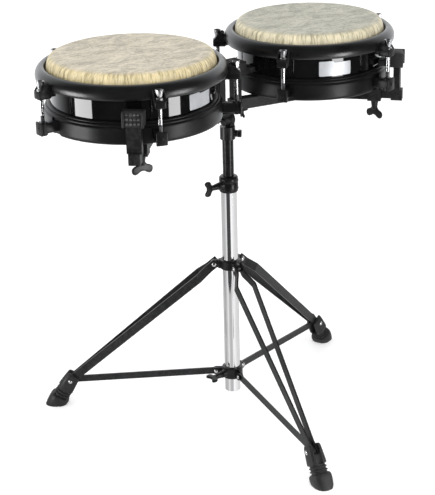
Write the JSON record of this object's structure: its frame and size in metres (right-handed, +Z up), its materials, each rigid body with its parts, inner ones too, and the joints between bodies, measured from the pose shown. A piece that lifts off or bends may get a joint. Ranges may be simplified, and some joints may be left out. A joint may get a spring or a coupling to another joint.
{
  "type": "bongo drums on stand",
  "caption": "Shallow rod-tuned hand drums of unequal size, clamped side by side on swinging arms over a height-adjustable, tilting, folding tripod stand.",
  "frame": {"origin": "on the floor, under the middle of the overall bounding box", "axes": "+Z up; +X from the large drum towards the small drum; the player stands on the -Y side"},
  "size_m": [0.7668, 0.6129, 0.7526],
  "materials": {
    "drum_skin": "dry, fibrous skin-like film, mottled cream",
    "shell_gloss": "high-gloss black lacquered moulded shell",
    "rim_satin": "satin black, rounded comfort rim",
    "hoop_satin": "satin black moulded hoop",
    "lug_black": "semi-gloss black casting",
    "rod_chrome": "bright chrome plate",
    "tube_chrome": "bright chrome plate",
    "tube_black": "black paint, semi-gloss",
    "arm_black": "fine-textured black powder coat",
    "leg_black": "fine-textured dark grey-black powder coat",
    "cast_black": "black painted casting",
    "screw_black": "black painted casting on a steel thread",
    "rubber_black": "matt black rubber"
  },
  "bodies": {
    "stand": {"base_tube": "tube_chrome", "leg_collar": "cast_black", "height_clamp": "cast_black"},
    "height_screw": {"height_screw": "screw_black"},
    "mast": {"upper_tube": "tube_black"},
    "tilter": {"tilter_base": "cast_black"},
    "sleeve_screw": {"sleeve_screw": "screw_black"},
    "tilt_screw": {"tilt_screw": "screw_black"},
    "hub": {"hub_plate": "cast_black"},
    "brace_collar": {"brace_collar": "cast_black"},
    "brace_screw": {"brace_screw": "screw_black"},
    "arm_left": {"arm_left": "arm_black", "inner_pad_left": "rubber_black", "shell_left": "shell_gloss", "lower_hoop_left": "hoop_satin", "rim_left": "rim_satin", "head_left": "drum_skin", "lug_left_1": "lug_black", "lug_left_2": "lug_black", "lug_left_3": "lug_black", "lug_left_4": "lug_black", "lug_left_5": "lug_black"},
    "bar_left": {"sliding_bar_left": "arm_black", "outer_pad_left": "rubber_black"},
    "bar_screw_left": {"bar_screw_left": "screw_black"},
    "swivel_screw_left": {"swivel_screw_left": "screw_black"},
    "arm_right": {"arm_right": "arm_black", "inner_pad_right": "rubber_black", "shell_right": "shell_gloss", "lower_hoop_right": "hoop_satin", "rim_right": "rim_satin", "head_right": "drum_skin", "lug_right_1": "lug_black", "lug_right_2": "lug_black", "lug_right_3": "lug_black", "lug_right_4": "lug_black", "lug_right_5": "lug_black"},
    "bar_right": {"sliding_bar_right": "arm_black", "outer_pad_right": "rubber_black"},
    "bar_screw_right": {"bar_screw_right": "screw_black"},
    "swivel_screw_right": {"swivel_screw_right": "screw_black"},
    "leg_a": {"leg_a": "leg_black", "boot_a": "rubber_black"},
    "leg_b": {"leg_b": "leg_black", "boot_b": "rubber_black"},
    "leg_c": {"leg_c": "leg_black", "boot_c": "rubber_black"},
    "brace_a": {"brace_a": "leg_black"},
    "brace_b": {"brace_b": "leg_black"},
    "brace_c": {"brace_c": "leg_black"},
    "tension_rod_left_1": {"tension_rod_left_1": "rod_chrome"},
    "tension_rod_left_2": {"tension_rod_left_2": "rod_chrome"},
    "tension_rod_left_3": {"tension_rod_left_3": "rod_chrome"},
    "tension_rod_left_4": {"tension_rod_left_4": "rod_chrome"},
    "tension_rod_left_5": {"tension_rod_left_5": "rod_chrome"},
    "tension_rod_right_1": {"tension_rod_right_1": "rod_chrome"},
    "tension_rod_right_2": {"tension_rod_right_2": "rod_chrome"},
    "tension_rod_right_3": {"tension_rod_right_3": "rod_chrome"},
    "tension_rod_right_4": {"tension_rod_right_4": "rod_chrome"},
    "tension_rod_right_5": {"tension_rod_right_5": "rod_chrome"}
  },
  "joints": [
    {"name": "height_slide", "type": "slide", "parent": "stand", "child": "mast", "axis": [0, 0, 1], "range_m": [-0.07, 0.11]},
    {"name": "pole_swivel", "type": "hinge", "parent": "mast", "child": "tilter", "pos_m": [0.0095, 0.0642, 0.564], "axis": [0, 0, 1], "continuous": true},
    {"name": "tilt", "type": "hinge", "parent": "tilter", "child": "hub", "pos_m": [0.0095, 0.0642, 0.5915], "axis": [1, 0, 0], "range_deg": [-25, 25]},
    {"name": "arm_swivel_left", "type": "hinge", "parent": "hub", "child": "arm_left", "pos_m": [-0.02217, 0.05964, 0.608], "axis": [0, 0, 1], "range_deg": [-10, 10]},
    {"name": "bar_slide_left", "type": "slide", "parent": "arm_left", "child": "bar_left", "axis": [-0.682, -0.7314, 0], "range_m": [0, 0.03]},
    {"name": "bar_screw_turn_left", "type": "hinge", "parent": "arm_left", "child": "bar_screw_left", "pos_m": [-0.24982, -0.0485, 0.6054], "axis": [0, 0, 1], "continuous": true},
    {"name": "swivel_screw_turn_left", "type": "hinge", "parent": "hub", "child": "swivel_screw_left", "pos_m": [-0.02217, 0.05964, 0.6037], "axis": [0, 0, 1], "continuous": true},
    {"name": "arm_swivel_right", "type": "hinge", "parent": "hub", "child": "arm_right", "pos_m": [0.04117, 0.05964, 0.608], "axis": [0, 0, 1], "range_deg": [-10, 10]},
    {"name": "bar_slide_right", "type": "slide", "parent": "arm_right", "child": "bar_right", "axis": [0.682, -0.7314, 0], "range_m": [0, 0.03]},
    {"name": "bar_screw_turn_right", "type": "hinge", "parent": "arm_right", "child": "bar_screw_right", "pos_m": [0.26882, -0.0485, 0.6054], "axis": [0, 0, 1], "continuous": true},
    {"name": "swivel_screw_turn_right", "type": "hinge", "parent": "hub", "child": "swivel_screw_right", "pos_m": [0.04117, 0.05964, 0.6037], "axis": [0, 0, 1], "continuous": true},
    {"name": "height_screw_turn", "type": "hinge", "parent": "stand", "child": "height_screw", "pos_m": [-0.0172, 0.06186, 0.466], "axis": [-0.9962, -0.0872, 0], "continuous": true},
    {"name": "sleeve_screw_turn", "type": "hinge", "parent": "tilter", "child": "sleeve_screw", "pos_m": [0.02644, 0.04894, 0.564], "axis": [0.7431, -0.6691, 0], "continuous": true},
    {"name": "tilt_screw_turn", "type": "hinge", "parent": "tilter", "child": "tilt_screw", "pos_m": [-0.001, 0.0642, 0.5915], "axis": [1, 0, 0], "continuous": true},
    {"name": "leg_a_fold", "type": "hinge", "parent": "stand", "child": "leg_a", "pos_m": [0.03844, 0.07531, 0.304], "axis": [-0.3584, 0.9336, 0], "range_deg": [0, 46.23]},
    {"name": "leg_b_fold", "type": "hinge", "parent": "stand", "child": "leg_b", "pos_m": [-0.01459, 0.08371, 0.304], "axis": [-0.6293, -0.7771, 0], "range_deg": [0, 46.43]},
    {"name": "leg_c_fold", "type": "hinge", "parent": "stand", "child": "leg_c", "pos_m": [0.00465, 0.03358, 0.304], "axis": [0.9877, -0.1564, 0], "range_deg": [0, 46.43]},
    {"name": "brace_collar_slide", "type": "slide", "parent": "stand", "child": "brace_collar", "axis": [0, 0, 1], "range_m": [0, 0.1354]},
    {"name": "brace_a_turn", "type": "hinge", "parent": "brace_collar", "child": "brace_a", "pos_m": [0.03938, 0.07567, 0.0758], "axis": [-0.3584, 0.9336, 0], "range_deg": [0, 82.15]},
    {"name": "brace_b_turn", "type": "hinge", "parent": "brace_collar", "child": "brace_b", "pos_m": [-0.01537, 0.08434, 0.0758], "axis": [-0.6293, -0.7771, 0], "range_deg": [0, 82.15]},
    {"name": "brace_c_turn", "type": "hinge", "parent": "brace_collar", "child": "brace_c", "pos_m": [0.00449, 0.03259, 0.0758], "axis": [0.9877, -0.1564, 0], "range_deg": [0, 82.15]},
    {"name": "brace_screw_turn", "type": "hinge", "parent": "brace_collar", "child": "brace_screw", "pos_m": [-0.01919, 0.06169, 0.0758], "axis": [-0.9962, -0.0872, 0], "continuous": true},
    {"name": "rod_turn_left_1", "type": "hinge", "parent": "arm_left", "child": "tension_rod_left_1", "pos_m": [-0.3739, 0.0642, 0.7], "axis": [0, 0, 1], "continuous": true},
    {"name": "rod_turn_left_2", "type": "hinge", "parent": "arm_left", "child": "tension_rod_left_2", "pos_m": [-0.24835, 0.23701, 0.7], "axis": [0, 0, 1], "continuous": true},
    {"name": "rod_turn_left_3", "type": "hinge", "parent": "arm_left", "child": "tension_rod_left_3", "pos_m": [-0.0452, 0.171, 0.7], "axis": [0, 0, 1], "continuous": true},
    {"name": "rod_turn_left_4", "type": "hinge", "parent": "arm_left", "child": "tension_rod_left_4", "pos_m": [-0.0452, -0.0426, 0.7], "axis": [0, 0, 1], "continuous": true},
    {"name": "rod_turn_left_5", "type": "hinge", "parent": "arm_left", "child": "tension_rod_left_5", "pos_m": [-0.24835, -0.10861, 0.7], "axis": [0, 0, 1], "continuous": true},
    {"name": "rod_turn_right_1", "type": "hinge", "parent": "arm_right", "child": "tension_rod_right_1", "pos_m": [0.3739, 0.0642, 0.7], "axis": [0, 0, 1], "continuous": true},
    {"name": "rod_turn_right_2", "type": "hinge", "parent": "arm_right", "child": "tension_rod_right_2", "pos_m": [0.25491, 0.22797, 0.7], "axis": [0, 0, 1], "continuous": true},
    {"name": "rod_turn_right_3", "type": "hinge", "parent": "arm_right", "child": "tension_rod_right_3", "pos_m": [0.06239, 0.16542, 0.7], "axis": [0, 0, 1], "continuous": true},
    {"name": "rod_turn_right_4", "type": "hinge", "parent": "arm_right", "child": "tension_rod_right_4", "pos_m": [0.06239, -0.03702, 0.7], "axis": [0, 0, 1], "continuous": true},
    {"name": "rod_turn_right_5", "type": "hinge", "parent": "arm_right", "child": "tension_rod_right_5", "pos_m": [0.25491, -0.09957, 0.7], "axis": [0, 0, 1], "continuous": true}
  ],
  "couplings": [
    {"joint": "leg_b_fold", "follows": "leg_a_fold", "ratio": 1},
    {"joint": "leg_c_fold", "follows": "leg_a_fold", "ratio": 1},
    {"joint": "brace_collar_slide", "follows": "leg_a_fold", "m_per_rad": 0.16719},
    {"joint": "brace_a_turn", "follows": "leg_a_fold", "ratio": 1.7704},
    {"joint": "brace_b_turn", "follows": "leg_a_fold", "ratio": 1.7704},
    {"joint": "brace_c_turn", "follows": "leg_a_fold", "ratio": 1.7704}
  ]
}
